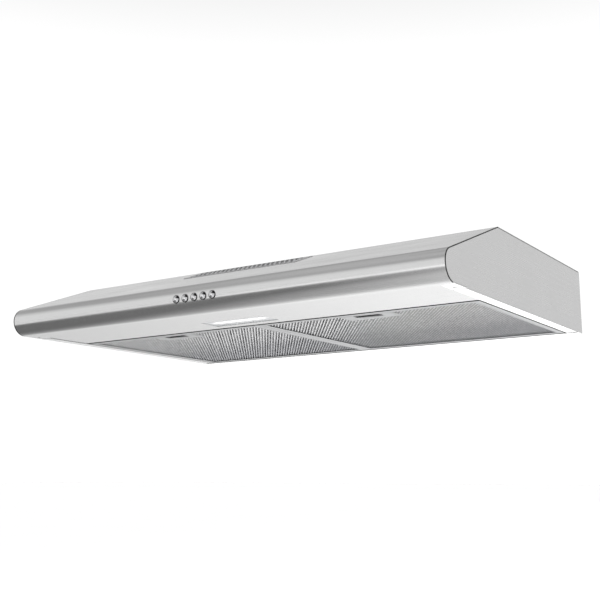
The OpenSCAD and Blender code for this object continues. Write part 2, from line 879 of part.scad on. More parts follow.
module latch_slider(side) {
  plate_x = 25;
  pad = [36, 2.4];
  pad_y = recess_y1 - pad[1] - 0.6;
  color(BLACK) placed() on_side(side) translate([filter_mid_x, 0, 0]) {
    box(-tongue_x, tongue_x, panel_y1 + 0.6, recess_y0, tongue_z[0], tongue_z[1]);
    box(-plate_x, plate_x, recess_y0 - 2, slider_y1, tongue_z[0], tongue_z[1]);
    translate([-pad[0] / 2, pad_y, frame_t + 0.5])
      cube([pad[0], pad[1], tongue_z[0] - frame_t]);
  }
}

module latch_slider_left() { latch_slider(-1); }
module latch_slider_right() { latch_slider(1); }

module latch_spring(side) {
  gap = 0.1;
  length = latch_y1 - 1 - slider_y1 - 2 * gap;
  color(ZINC) placed() on_side(side) for (dx = [-14, 14])
    translate([filter_mid_x + dx, 0, filter_t / 2 + 0.1]) coil_y(slider_y1 + gap, length, 2.4, 0.3, 4);
}

module latch_spring_left() { latch_spring(-1); }
module latch_spring_right() { latch_spring(1); }

canopy_shell();
side_panel_left();
side_panel_right();
back_panel();
lamp_panel();
centre_rail();
vent_grille();
lamp_lens();
lamp_board();
lamp_driver();
button_guide();
switch_bank();
mains_box();
mains_box_cover();
cable_gland();
run_capacitors();
duct_collar();
damper_pin();
outlet_box();
vent_duct();
fan_housing_left();
fan_housing_right();
inlet_plate_left();
inlet_plate_right();
motor_can_left();
motor_can_right();
motor_stators();
motor_bushes();
motor_screws();
pan_screws();
button_off();
button_low();
button_mid();
button_high();
button_lamp();
spring_off();
spring_low();
spring_mid();
spring_high();
spring_lamp();
damper_flap_front();
damper_flap_rear();
vent_flap();
flap_lever();
fan_wheel_left();
fan_wheel_right();
rotor_left();
rotor_right();
charcoal_filter_left();
charcoal_filter_right();
filter_frame_left();
filter_frame_right();
filter_mesh_left();
filter_mesh_right();
latch_plate_left();
latch_plate_right();
latch_slider_left();
latch_slider_right();
latch_spring_left();
latch_spring_right();
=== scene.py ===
"""Looks of the under cabinet range hood, in the CAD model's own frame, metres."""

import json
import math
from itertools import product

import bmesh
import bpy
from mathutils import Matrix, Vector
from mathutils.geometry import delaunay_2d_cdt

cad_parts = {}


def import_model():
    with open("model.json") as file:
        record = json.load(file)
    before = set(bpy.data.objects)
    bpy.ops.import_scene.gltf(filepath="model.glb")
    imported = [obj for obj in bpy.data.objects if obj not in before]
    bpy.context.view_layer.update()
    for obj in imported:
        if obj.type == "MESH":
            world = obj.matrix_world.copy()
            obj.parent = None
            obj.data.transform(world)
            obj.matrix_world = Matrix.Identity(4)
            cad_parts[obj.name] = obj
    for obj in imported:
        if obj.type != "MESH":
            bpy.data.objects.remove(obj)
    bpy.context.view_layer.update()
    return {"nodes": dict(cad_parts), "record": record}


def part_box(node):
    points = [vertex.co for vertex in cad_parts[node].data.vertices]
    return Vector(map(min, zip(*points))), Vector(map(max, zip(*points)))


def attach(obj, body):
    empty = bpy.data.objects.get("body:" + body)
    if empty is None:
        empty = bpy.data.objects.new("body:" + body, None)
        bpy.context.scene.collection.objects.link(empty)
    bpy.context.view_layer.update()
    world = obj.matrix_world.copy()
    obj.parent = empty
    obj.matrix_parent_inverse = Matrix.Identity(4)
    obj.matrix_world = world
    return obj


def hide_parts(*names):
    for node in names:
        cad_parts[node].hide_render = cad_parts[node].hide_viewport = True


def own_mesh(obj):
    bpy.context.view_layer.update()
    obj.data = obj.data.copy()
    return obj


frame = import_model()
nodes = frame["nodes"]

MM = 0.001
SHELL_LO, SHELL_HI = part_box("canopy_shell")
BUTTONS = ("off", "low", "mid", "high", "lamp")
SIDES = ((-1, "left"), (1, "right"))

# the CAD model's driving sizes, mm, from the nose line on the underside
NOSE_R = 23.0
WIDTH = (SHELL_HI.x - SHELL_LO.x) / MM
HEIGHT = (SHELL_HI.z - SHELL_LO.z) / MM
BACK = (SHELL_HI.y - SHELL_LO.y) / MM - NOSE_R
ORIGIN = Vector((0, SHELL_LO.y + NOSE_R * MM, SHELL_LO.z))
SLOPE_DEG = 21
SLOPE = math.radians(SLOPE_DEG)
BEND_Y, BEND_R = 140.5, 4.0
LIP, LIP_R, HEM = 35.5, 1.2, 9.0
SHEET = 1.0
SEAM, RIM_W, REAR_RIM = 0.4, 18.5, 20.0
FACE = WIDTH / 2 - SEAM
BUTTON_Z, PITCH = 21.2, 16.2
VENT_X, VENT_W, VENT_L, VENT_TOP = -12.0, 213.0, 50.0, 7.0
LAMP_Y = 80.0
DUCT_R = 58.5
MOUNT_X, MOUNT_Y = 350, (181, 431)
# where the filter mesh's painted shade starts and ends
FILTER_Y = (130, 440)
MIX_A, MIX_B = 6, 7  # the colour sockets of a mix node


def at(x, y, z):
    """A point given in mm from the nose line on the underside, in the frame's metres."""
    return ORIGIN + Vector((x, y, z)) * MM


def design(point):
    """The reverse of at()."""
    return (point - ORIGIN) / MM


# ---------------------------------------------------------------- materials

def shader(name, base, metallic=0.0, rough=0.5, specular=0.5, edge=None):
    """A new material and its node tree, principled node and texture coordinates."""
    mat = bpy.data.materials.new(name)
    mat.use_nodes = True
    tree = mat.node_tree
    bsdf = tree.nodes["Principled BSDF"]
    bsdf.inputs["Base Color"].default_value = (*base, 1)
    bsdf.inputs["Metallic"].default_value = metallic
    bsdf.inputs["Roughness"].default_value = rough
    bsdf.inputs["Specular IOR Level"].default_value = specular
    if edge is not None:
        bsdf.inputs["Specular Tint"].default_value = (edge, edge, edge, 1)
    mat.diffuse_color = (*base, 1)
    coord = tree.nodes.new("ShaderNodeTexCoord")
    return mat, tree, bsdf, coord.outputs["Object"]


def noise(tree, vector, stretch, detail=4.0):
    """Noise whose cells per metre along x, y and z are given."""
    mapping = tree.nodes.new("ShaderNodeMapping")
    mapping.inputs["Scale"].default_value = stretch
    tree.links.new(vector, mapping.inputs["Vector"])
    tex = tree.nodes.new("ShaderNodeTexNoise")
    tex.inputs["Scale"].default_value = 1.0
    tex.inputs["Detail"].default_value = detail
    tex.inputs["Roughness"].default_value = 0.6
    tree.links.new(mapping.outputs["Vector"], tex.inputs["Vector"])
    return tex.outputs["Fac"]


def ranged(tree, value, low, high, to_low, to_high, smooth=True):
    """Maps low..high onto to_low..to_high, with soft ends or straight."""
    node = tree.nodes.new("ShaderNodeMapRange")
    if smooth:
        node.interpolation_type = "SMOOTHSTEP"
    for key, number in (("From Min", low), ("From Max", high), ("To Min", to_low),
                        ("To Max", to_high)):
        node.inputs[key].default_value = number
    tree.links.new(value, node.inputs["Value"])
    return node.outputs["Result"]


def spread(tree, value, low, high):
    """Maps a noise value's usual range onto low..high."""
    return ranged(tree, value, 0.3, 0.7, low, high, smooth=False)


def axes(tree, vector):
    """The x, y and z of a vector."""
    split = tree.nodes.new("ShaderNodeSeparateXYZ")
    tree.links.new(vector, split.inputs[0])
    return split.outputs


def blended(tree, factor, first, second):
    """A colour between two, as factor goes from 0 to 1."""
    node = tree.nodes.new("ShaderNodeMix")
    node.data_type = "RGBA"
    node.inputs[MIX_A].default_value = (*first, 1)
    node.inputs[MIX_B].default_value = (*second, 1)
    tree.links.new(factor, node.inputs[0])
    return node.outputs[2]


def maths(tree, operation, a, b=0.0):
    """A sum, product or other operation on sockets or numbers."""
    node = tree.nodes.new("ShaderNodeMath")
    node.operation = operation
    for socket, value in zip(node.inputs, (a, b)):
        if hasattr(value, "is_output"):
            tree.links.new(value, socket)
        else:
            socket.default_value = value
    return node.outputs[0]


def bump(tree, bsdf, height, strength, distance=0.2 * MM):
    """Lets a value raise the surface a little."""
    node = tree.nodes.new("ShaderNodeBump")
    node.inputs["Strength"].default_value = strength
    node.inputs["Distance"].default_value = distance
    tree.links.new(height, node.inputs["Height"])
    tree.links.new(node.outputs["Normal"], bsdf.inputs["Normal"])


def tint(tree, bsdf, base, value, amount):
    """Lets a noise value darken or lighten the base colour a little."""
    dark = [c * (1 - amount) for c in base]
    light = [min(1, c * (1 + amount)) for c in base]
    tree.links.new(blended(tree, value, dark, light), bsdf.inputs["Base Color"])


def brushed(name, base, rough=0.3, grain=(3, 900, 900), strength=0.06, edge=None):
    """Brushed sheet: fine streaks along one direction, and faint wipe marks."""
    mat, tree, bsdf, coord = shader(name, base, 1.0, rough, edge=edge)
    streak = noise(tree, coord, grain)
    wipe = noise(tree, coord, (7, 16, 16), detail=3)
    fine = spread(tree, streak, -0.05, 0.05)
    broad = spread(tree, wipe, rough - 0.03, rough + 0.03)
    tree.links.new(maths(tree, "ADD", fine, broad), bsdf.inputs["Roughness"])
    tint(tree, bsdf, base, streak, 0.035)
    bump(tree, bsdf, streak, strength, 0.05 * MM)
    return mat


def spangled(name, base, rough=0.42):
    """Galvanised sheet: crystal patches of slightly different brightness."""
    mat, tree, bsdf, coord = shader(name, base, 1.0, rough)
    cells = tree.nodes.new("ShaderNodeTexVoronoi")
    cells.inputs["Scale"].default_value = 110
    tree.links.new(coord, cells.inputs["Vector"])
    grey = tree.nodes.new("ShaderNodeSeparateColor")
    tree.links.new(cells.outputs["Color"], grey.inputs["Color"])
    tint(tree, bsdf, base, grey.outputs[0], 0.12)
    tree.links.new(spread(tree, grey.outputs[1], rough - 0.05, rough + 0.08),
                   bsdf.inputs["Roughness"])
    bump(tree, bsdf, noise(tree, coord, (60, 60, 60)), 0.1)
    return mat


def moulded(name, base, rough=0.45, grain=900, strength=0.12, specular=0.4):
    """Moulded plastic with a fine eroded texture and uneven sheen."""
    mat, tree, bsdf, coord = shader(name, base, 0.0, rough, specular)
    fine = noise(tree, coord, (grain, grain, grain), detail=2)
    broad = noise(tree, coord, (20, 20, 20))
    tree.links.new(spread(tree, broad, rough - 0.06, rough + 0.08), bsdf.inputs["Roughness"])
    tint(tree, bsdf, base, broad, 0.08)
    bump(tree, bsdf, fine, strength)
    return mat


def worn_metal(name, base, rough=0.3, scale=140, amount=0.1):
    """Bare metal with a fine mottle in its colour, sheen and relief."""
    mat, tree, bsdf, coord = shader(name, base, 1.0, rough)
    mottle = noise(tree, coord, (scale, scale, scale), detail=6)
    tree.links.new(spread(tree, mottle, rough - 0.08, rough + 0.12), bsdf.inputs["Roughness"])
    tint(tree, bsdf, base, mottle, amount)
    bump(tree, bsdf, mottle, 0.08)
    return mat


def glowing(name, base, strength):
    """Milky lamp cover with a bar of light behind it that fades at its ends."""
    mat, tree, bsdf, coord = shader(name, base, 0.0, 0.35)
    along, deep, _ = axes(tree, coord)
    middle = at(0, LAMP_Y - 1, 0).y
    off = maths(tree, "ABSOLUTE", maths(tree, "SUBTRACT", deep, middle))
    bar = ranged(tree, off, 2 * MM, 8.5 * MM, strength, 0.0)
    ends = ranged(tree, maths(tree, "ABSOLUTE", along), 34 * MM, 56 * MM, 1.0, 0.0)
    bsdf.inputs["Emission Color"].default_value = (1.0, 0.985, 0.96, 1)
    tree.links.new(maths(tree, "MULTIPLY", bar, ends), bsdf.inputs["Emission Strength"])
    tint(tree, bsdf, base, noise(tree, coord, (90, 90, 90)), 0.04)
    bump(tree, bsdf, noise(tree, coord, (700, 700, 700), detail=1), 0.05)
    return mat


def graded(name, front, back, rough):
    """Aluminium wire, darker towards the wall: painted shade, standing for light that falls off
    away from the front.
    """
    mat, tree, bsdf, coord = shader(name, front, 1.0, rough, edge=0.8)
    mottle = noise(tree, coord, (160, 160, 160), detail=5)
    patch = noise(tree, coord, (9, 14, 9), detail=2)
    depth = axes(tree, coord)[1]
    near, far = (at(0, y, 0).y for y in FILTER_Y)
    fade = ranged(tree, depth, near, far, 0.0, 1.0)
    fade = maths(tree, "ADD", fade, spread(tree, patch, -0.12, 0.12))
    speck = noise(tree, coord, (300, 110, 110), detail=1)
    fade = maths(tree, "ADD", fade, spread(tree, speck, -0.45, 0.45))
    tree.links.new(blended(tree, fade, front, back), bsdf.inputs["Base Color"])
    tree.links.new(spread(tree, mottle, rough - 0.08, rough + 0.1), bsdf.inputs["Roughness"])
    bump(tree, bsdf, mottle, 0.08)
    return mat


ALONG_Y = (900, 3, 900)

# the looks, named after the record's material slots where they stand for one
M = {
    "stainless": brushed("canopy_steel", (0.62, 0.62, 0.62), 0.2, edge=0.72),
    "side": brushed("side_steel", (0.54, 0.54, 0.54), 0.3, ALONG_Y, 0.003, edge=0.9),
    # the rim steel in two copies: the lighter one, on the right and rear rims, is painted
    # light; the darker one, on the left rim, is painted shade
    "rim": brushed("rim_steel_painted_light", (0.82, 0.82, 0.82), 0.3, ALONG_Y),
    "rim_left_painted_shade": brushed("rim_steel_left_painted_shade", (0.52, 0.52, 0.52), 0.3, ALONG_Y),
    "back": brushed("back_steel", (0.4, 0.4, 0.405), 0.34, ALONG_Y, 0.01),
    "galvanised": spangled("zinc_sheet", (0.62, 0.63, 0.65)),
    # near-black, painted shade: the canopy's end seams and hole walls and the vent's slot
    # walls, not the colour of cut steel
    "cut": worn_metal("edge_painted_shade", (0.035, 0.035, 0.035), 0.4),
    "shadow": moulded("shadow_gap", (0.02, 0.02, 0.021), 0.6, specular=0.2),
    "vent_plastic": moulded("vent_grey", (0.2, 0.2, 0.205), 0.42),
    "lamp_diffuser": glowing("lamp_cover", (0.55, 0.56, 0.57), 0.9),
    "circuit_board": moulded("board_white", (0.72, 0.75, 0.72), 0.35, 300),
    "white_plastic": moulded("white_plastic", (0.72, 0.72, 0.70), 0.4),
    "black_plastic": moulded("black_plastic", (0.018, 0.018, 0.02), 0.36),
    "housing_plastic": moulded("housing_grey", (0.22, 0.225, 0.235), 0.5),
    "wheel_plastic": moulded("wheel_grey", (0.05, 0.052, 0.058), 0.42),
    "lever_plastic": moulded("lever_red", (0.42, 0.03, 0.02), 0.3),
    "motor_steel": worn_metal("motor_steel", (0.52, 0.53, 0.55), 0.33),
    "copper_winding": worn_metal("motor_windings", (0.55, 0.25, 0.11), 0.35, 500, 0.3),
    "bush_bronze": worn_metal("bush_bronze", (0.55, 0.38, 0.18), 0.38),
    "screw_zinc": worn_metal("screw_zinc", (0.68, 0.69, 0.71), 0.24),
    "spring_steel": worn_metal("spring_wire", (0.62, 0.63, 0.65), 0.2),
    "button_silver": worn_metal("button_silver", (0.6, 0.6, 0.61), 0.12, 60, 0.03),
    "charcoal_cloth": moulded("charcoal_grain", (0.012, 0.012, 0.013), 0.75, 420, 0.9),
    "filter_aluminium": brushed("filter_aluminium", (0.46, 0.465, 0.47), 0.33, ALONG_Y,
                                edge=0.62),
    # both darken towards the wall as painted shade; the inner layer, a darker copy of the same
    # wire, is painted shade too
    "mesh_aluminium": graded("mesh_aluminium", (0.78, 0.78, 0.785), (0.36, 0.365, 0.39), 0.3),
    "inner_mesh": graded("inner_mesh", (0.48, 0.48, 0.485), (0.21, 0.215, 0.235), 0.42),
}
NODE_SLOT = {part["node"]: part["material_slot"] for part in frame["record"]["subparts"]}
for name, obj in nodes.items():
    for i in range(len(obj.data.materials)):
        obj.data.materials[i] = M[NODE_SLOT[name]]


# ---------------------------------------------------------------- mesh making

class Solid:
    """Collects vertices and faces in mm, and makes one piece of them."""

    def __init__(self):
        self.verts, self.faces, self.mats = [], [], []

    def add(self, verts, faces, mat=0):
        """Takes in a group of faces, whose numbers count from its own first vertex."""
        start = len(self.verts)
        self.verts += [Vector(v) for v in verts]
        self.faces += [[start + i for i in f] for f in faces]
        self.mats += [mat] * len(faces)

    def box(self, lo, hi, mat=0, chamfer=0.0):
        """A block whose twelve edges may be chamfered; each corner is three vertices."""
        verts, index = [], {}
        for s in product((0, 1), repeat=3):
            for k in range(3):
                index[(*s, k)] = len(verts)
                verts.append([(lo, hi)[s[j]][j] + (chamfer * (1 - 2 * s[j]) if j != k else 0)
                              for j in range(3)])

        def number(k, side, sa, sb, which):
            s = [0, 0, 0]
            s[k], s[(k + 1) % 3], s[(k + 2) % 3] = side, sa, sb
            return index[(*s, which)]

        faces = []
        for k, side in product(range(3), (0, 1)):
            loop = [number(k, side, sa, sb, k) for sa, sb in ((0, 0), (1, 0), (1, 1), (0, 1))]
            faces.append(loop if side else loop[::-1])
        if chamfer:
            for k, sa, sb in product(range(3), (0, 1), (0, 1)):
                a, b = (k + 1) % 3, (k + 2) % 3
                quad = [number(k, side, sa, sb, which)
                        for side, which in ((0, a), (0, b), (1, b), (1, a))]
                faces.append(quad if sa == sb else quad[::-1])
            for s in product((0, 1), repeat=3):
                tri = [index[(*s, k)] for k in range(3)]
                faces.append(tri if sum(s) % 2 else tri[::-1])
        self.add(verts, faces, mat)

    def lathe(self, profile, steps, matrix, closed=True):
        """Turns an (r, z) outline round z; the outline may start and end on the axis."""
        rings, verts, faces = [], [], []
        for r, z in profile:
            if r < 1e-6:
                rings.append([len(verts)] * steps)
                verts.append((0, 0, z))
            else:
                rings.append(list(range(len(verts), len(verts) + steps)))
                verts += [(x, y, z) for x, y in circle(0, 0, r, steps)]
        pairs = list(zip(rings, rings[1:]))
        if closed:
            pairs.append((rings[-1], rings[0]))
        for lower, upper in pairs:
            for i in range(steps):
                j = (i + 1) % steps
                face = list(dict.fromkeys([lower[i], lower[j], upper[j], upper[i]]))
                if len(face) > 2:
                    faces.append(face)
        self.add([matrix @ Vector(v) for v in verts], faces)

    def prism(self, levels, matrix=Matrix()):
        """Outlines of equal length stacked up: levels is a list of (outline, z)."""
        n = len(levels[0][0])
        verts = [(x, y, z) for ring, z in levels for x, y in ring]
        faces = [list(range(n))[::-1], [len(verts) - n + i for i in range(n)]]
        for level in range(len(levels) - 1):
            low, high = level * n, (level + 1) * n
            faces += [[low + i, low + (i + 1) % n, high + (i + 1) % n, high + i]
                      for i in range(n)]
        self.add([matrix @ Vector(v) for v in verts], faces)

    def make(self, name, looks, body, angle=35, replaces=(), slot=None):
        """Turns what was collected into a piece that rides on a body."""
        mesh = bpy.data.meshes.new(name)
        mesh.from_pydata([at(*v) for v in self.verts], [], self.faces)
        for look in looks:
            mesh.materials.append(M[look])
        mesh.polygons.foreach_set("material_index", self.mats)
        mesh.validate()
        work = bmesh.new()
        work.from_mesh(mesh)
        bmesh.ops.recalc_face_normals(work, faces=work.faces)
        work.to_mesh(mesh)
        work.free()
        mesh.shade_smooth()
        mesh.set_sharp_from_angle(angle=math.radians(angle))
        return place(name, mesh, body, replaces, slot)


def add_object(name, data):
    """A new object in the scene."""
    obj = bpy.data.objects.new(name, data)
    bpy.context.scene.collection.objects.link(obj)
    return obj


def place(name, mesh, body, replaces=(), slot=None):
    """Adds a piece to the scene on the body that moves it, and hides the CAD nodes that it
    replaces.
    """
    obj = add_object(name, mesh)
    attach(obj, body)
    if replaces:
        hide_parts(*replaces)
        slot = slot or NODE_SLOT[replaces[0]]
    return obj


def inset(outline, by):
    """A convex or gently curved outline moved inwards."""
    n, result = len(outline), []
    for i in range(n):
        a, b, c = (Vector(outline[k % n]) for k in (i - 1, i, i + 1))
        n1 = Vector((-(b - a).y, (b - a).x)).normalized()
        n2 = Vector((-(c - b).y, (c - b).x)).normalized()
        mid = (n1 + n2).normalized()
        result.append(tuple(b + mid * by / max(0.3, mid.dot(n1))))
    return result


def rounded(x0, x1, y0, y1, r, steps=5):
    """Counter-clockwise rectangle with round corners."""
    points = []
    for cx, cy, start in ((x1 - r, y1 - r, 0), (x0 + r, y1 - r, 90), (x0 + r, y0 + r, 180),
                          (x1 - r, y0 + r, 270)):
        for i in range(steps + 1):
            a = math.radians(start + 90 * i / steps)
            points.append((cx + r * math.cos(a), cy + r * math.sin(a)))
    return points


def circle(cx, cy, r, steps):
    """Counter-clockwise points round a centre."""
    turns = [2 * math.pi * i / steps for i in range(steps)]
    return [(cx + r * math.cos(a), cy + r * math.sin(a)) for a in turns]


def inside(point, polygon):
    """Whether a point lies in a polygon, by counting the edges it would cross."""
    x, y = point
    hit = False
    for (x0, y0), (x1, y1) in zip(polygon, polygon[1:] + polygon[:1]):
        if (y0 > y) != (y1 > y) and x < (x1 - x0) * (y - y0) / (y1 - y0) + x0:
            hit = not hit
    return hit


def spot(u, v):
    """A point of an outline in a form that can be looked up in a set."""
    return round(u, 3), round(v, 3)


def triangulate(outline, holes, lines=(), rings=()):
    """Triangles of an outline less its holes, split along the given lines and rings."""
    points, edges = [], []
    for ring in [outline, *holes, *rings]:
        start = len(points)
        points += [Vector(p) for p in ring]
        edges += [(start + i, start + (i + 1) % len(ring)) for i in range(len(ring))]
    for a, b in lines:
        edges.append((len(points), len(points) + 1))
        points += [Vector(a), Vector(b)]
    verts, _, tris, *_ = delaunay_2d_cdt(points, edges, [], 0, 1e-4)
    kept = []
    for tri in tris:
        c = sum((verts[i] for i in tri), Vector((0, 0))) / 3
        if inside(c, outline) and not any(inside(c, h) for h in holes):
            kept.append(tri)
    return verts, kept


def sheet(name, outline, holes, surface, thick, looks, body, replaces=(), lines=(), rings=(),
          edge=None, skin=None):
    """A bent sheet: surface(u, v) gives a point in mm and its outward normal.

    edge(u, v) and skin(u, v) pick the materials of the cut edges and of the face."""
    flat, tris = triangulate(outline, holes, lines, rings)
    outer = [surface(*p) for p in flat]
    verts = [p for p, _ in outer] + [p - n * thick for p, n in outer]
    normals = [n for _, n in outer] + [-n for _, n in outer]
    count = len(flat)
    p0, n0 = outer[tris[0][0]]
    q, r = verts[tris[0][1]], verts[tris[0][2]]
    flip = (q - p0).cross(r - p0).dot(n0) < 0
    faces = [t[::-1] if flip else list(t) for t in tris]
    borders = {(a, b) for f in faces for a, b in zip(f, f[1:] + f[:1])}
    faces += [[count + i for i in reversed(f)] for f in faces]
    mats = [0] * len(faces)
    if skin:
        for k, tri in enumerate(tris):
            mats[k] = skin(*(sum((flat[i] for i in tri), Vector((0, 0))) / 3))
    for a, b in sorted(borders):
        if (b, a) in borders:
            continue
        loop = [verts[count + a], verts[count + b], verts[b], verts[a]]
        normal = (loop[1] - loop[0]).cross(loop[2] - loop[1]).normalized()
        start = len(verts)
        verts += loop
        normals += [normal] * 4
        faces.append([start, start + 1, start + 2, start + 3])
        mats.append(edge(*flat[a]) if edge else 0)
    mesh = bpy.data.meshes.new(name)
    mesh.from_pydata([at(*v) for v in verts], [], faces)
    for look in looks:
        mesh.materials.append(M[look])
    mesh.polygons.foreach_set("material_index", mats)
    mesh.shade_smooth()
    mesh.normals_split_custom_set_from_vertices([tuple(n) for n in normals])
    return place(name, mesh, body, replaces)


# ---------------------------------------------------------------- canopy

SLOPE_START = HEIGHT - BEND_Y * math.tan(SLOPE)
TOP_R = ((SLOPE_START - NOSE_R * (1 + math.tan(SLOPE))) * math.cos(SLOPE)
         / (1 - math.sin(SLOPE)))
BEND_AT = BEND_Y + BEND_R * math.tan(SLOPE / 2)


def arc(cy, cz, r, start, end, step=3):
    """Stations (y, z, ny, nz) round a centre, from one angle to another."""
    count = max(2, round(abs(end - start) / step))
    angles = [math.radians(start + (end - start) * i / count) for i in range(count + 1)]
    return [(cy + r * math.cos(a), cz + r * math.sin(a), math.cos(a), math.sin(a))
            for a in angles]


def bent_path():
    """Stations along the sheet's outside from the hem to the wall: (s, y, z, ny, nz)."""
    stations = [(LIP, LIP_R + HEM, 1, 0)]
    stations += arc(LIP - LIP_R, LIP_R, LIP_R, 0, -90, 15)
    stations += arc(0, NOSE_R, NOSE_R, 270, 180)
    stations += arc(TOP_R - NOSE_R, NOSE_R, TOP_R, 180, 90 + SLOPE_DEG)
    stations += arc(BEND_AT, HEIGHT - BEND_R, BEND_R, 90 + SLOPE_DEG, 90)
    stations += [(BEND_AT, HEIGHT, 0, 1), (BACK, HEIGHT, 0, 1)]
    path, s = [], 0.0
    for i, (y, z, ny, nz) in enumerate(stations):
        if i:
            s += math.hypot(y - stations[i - 1][0], z - stations[i - 1][1])
        if not path or s - path[-1][0] > 1e-6:
            path.append((s, y, z, ny, nz))
    return path


PATH = bent_path()


def on_path(s):
    """Point and outward normal of the sheet's outside at arc length s."""
    for a, b in zip(PATH, PATH[1:]):
        if s <= b[0] + 1e-9:
            break
    t = min(1, max(0, (s - a[0]) / (b[0] - a[0])))
    y, z, ny, nz = (a[k] + (b[k] - a[k]) * t for k in range(1, 5))
    n = math.hypot(ny, nz)
    return y, z, ny / n, nz / n


def s_at_height(height, low, high):
    """Arc length between low and high at which the sheet reaches a height."""
    for (s0, _, z0, *_), (s1, _, z1, *_) in zip(PATH, PATH[1:]):
        if low <= s0 and s1 <= high and z0 != z1 and (z0 - height) * (z1 - height) <= 0:
            return s0 + (s1 - s0) * (height - z0) / (z1 - z0)
    raise ValueError(height)


def station(y, z):
    """Arc length of the station nearest to a point."""
    return min(PATH, key=lambda p: (p[1] - y) ** 2 + (p[2] - z) ** 2)[0]


def s_of_top(y):
    """Arc length at a depth y on the flat top."""
    return S_TOP + y - PATH[-2][1]


S_LIP = station(LIP - LIP_R, 0)
S_UNDER = station(0, 0)
S_SLOPE = max(s for s, y, *_ in PATH if y < BEND_Y - 2)
S_TOP = min(s for s, y, z, *_ in PATH if abs(z - HEIGHT) < 1e-6)
S_END = PATH[-1][0]
RIM_START = LIP + 0.8
LIP_SLOT_X = [side * (WIDTH / 2 - 9.5) for side, name in SIDES]
VENT_MARGIN = 3.5


def canopy_holes():
    """Holes for the buttons, the duct, four mounting screws, the gland, the vent and slots."""
    button_r, screw_r, gland_r, corner = 5.95, 2.5, 8.2, 1.5
    holes = []
    for i in range(len(BUTTONS)):
        ring = circle((i - 2) * PITCH, BUTTON_Z, button_r, 28)
        holes.append([(x, s_at_height(z, S_UNDER, S_SLOPE)) for x, z in ring])
    duct_lo, duct_hi = map(design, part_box("duct_collar"))
    holes.append(circle(0, s_of_top((duct_lo.y + duct_hi.y) / 2), DUCT_R, 64))
    for side, y in product((-1, 1), MOUNT_Y):
        holes.append(circle(side * MOUNT_X, s_of_top(y), screw_r, 16))
    gland_lo, gland_hi = map(design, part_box("cable_gland"))
    middle = (gland_lo + gland_hi) / 2
    holes.append(circle(middle.x, s_of_top(middle.y), gland_r, 24))
    half = VENT_W / 2 - VENT_MARGIN
    vent_top = S_SLOPE + (BEND_Y - on_path(S_SLOPE)[0]) / math.cos(SLOPE) - VENT_TOP
    holes.append(rounded(VENT_X - half, VENT_X + half, vent_top - VENT_L + VENT_MARGIN,
                         vent_top - VENT_MARGIN, corner, 3))
    slot_w, slot_start, slot_end = 6.4, S_UNDER - 23.3, S_UNDER - 20.2
    for x in LIP_SLOT_X:
        holes.append(rounded(x - slot_w / 2, x + slot_w / 2, slot_start, slot_end, corner, 3))
    return holes


def slot_shadows():
    """Dark plates behind the two slots near the front corners."""
    reach, front, back, gap, thick = 4.5, 18, 27, 0.1, 0.4
    solid = Solid()
    for x in LIP_SLOT_X:
        solid.box((x - reach, front, SHEET + gap), (x + reach, back, SHEET + gap + thick))
    solid.make("slot_shadows", ["shadow"], "hood", slot=NODE_SLOT["canopy_shell"])


def canopy():
    """The bent sheet; its upturned lip stops short of the ends, where strips of painted shade
    mark the seams, and the right end of its underside is painted light.
    """
    half = WIDTH / 2
    short, flat = half - 1.2, half - RIM_W
    seam_right, seam_left = half - 1.1, half - 2.0
    seam_start, rim_end = S_UNDER + 3, S_UNDER - 3
    outline = [(-short, 0), (short, 0), (short, S_LIP), (half, S_LIP), (half, S_END),
               (-half, S_END), (-half, S_LIP), (-short, S_LIP)]
    lines = [((-half - 1, s), (half + 1, s)) for s, *_ in PATH[1:-1]]
    lines += [((x, seam_start), (x, S_TOP)) for x in (-seam_left, seam_right)]
    lines += [((x, -1), (x, rim_end)) for x in (-flat, flat)]

    def surface(u, v):
        y, z, ny, nz = on_path(v)
        return Vector((u, y, z)), Vector((0, ny, nz))

    def skin(u, v):
        # the end strips are painted shade; the right end of the underside takes the lighter rim
        # copy, as painted light
        if (u > seam_right or u < -seam_left) and seam_start < v < S_TOP:
            return 1
        return 2 if u > flat and v < rim_end else 0

    def edge(u, v):
        # the edges along the seams and round the nose's holes are painted shade
        return 1 if seam_start + 1 < v < S_TOP else 0

    return sheet("canopy_skin", outline, canopy_holes(), surface, SHEET,
                 ["stainless", "cut", "rim"], "hood", ["canopy_shell"], lines, edge=edge,
                 skin=skin)


def side_panel(side, name):
    """The end plate, set just inside the canopy's sheet."""
    by = SHEET + 0.5
    outline = [(y - ny * by, z - nz * by) for s, y, z, ny, nz in PATH if s >= S_LIP]
    outline = [(RIM_START, 0), *outline, (BACK, 0)]
    if side < 0:
        outline = outline[::-1]

    def surface(u, v):
        return Vector((side * FACE, u, v)), Vector((side, 0, 0))

    return sheet(f"end_plate_{name}", outline, [], surface, SHEET, ["side"], "hood",
                 [f"side_panel_{name}"])


def rim(side, name):
    """The end plate's lower rim, with its small slot near the wall."""
    inner, outer = WIDTH / 2 - RIM_W + 0.5, FACE - 0.1
    x0, x1 = sorted((side * inner, side * outer))
    end = BACK - REAR_RIM - SEAM * 2
    slot_x, slot_w, slot_start, slot_end = side * (WIDTH / 2 - 8), 8, end - 14, end - 11.5
    slot = rounded(slot_x - slot_w / 2, slot_x + slot_w / 2, slot_start, slot_end, 1.2, 4)

    def surface(u, v):
        return Vector((u, v, 0)), Vector((0, 0, -1))

    # the left rim takes the darker copy of the rim steel, as painted shade, and the right one
    # the lighter copy, as painted light
    return sheet(f"end_rim_{name}", rounded(x0, x1, RIM_START, end, 0.6, 2), [slot], surface,
                 SHEET, ["rim" if side > 0 else "rim_left_painted_shade", "side"], "hood",
                 edge=lambda u, v: 1)


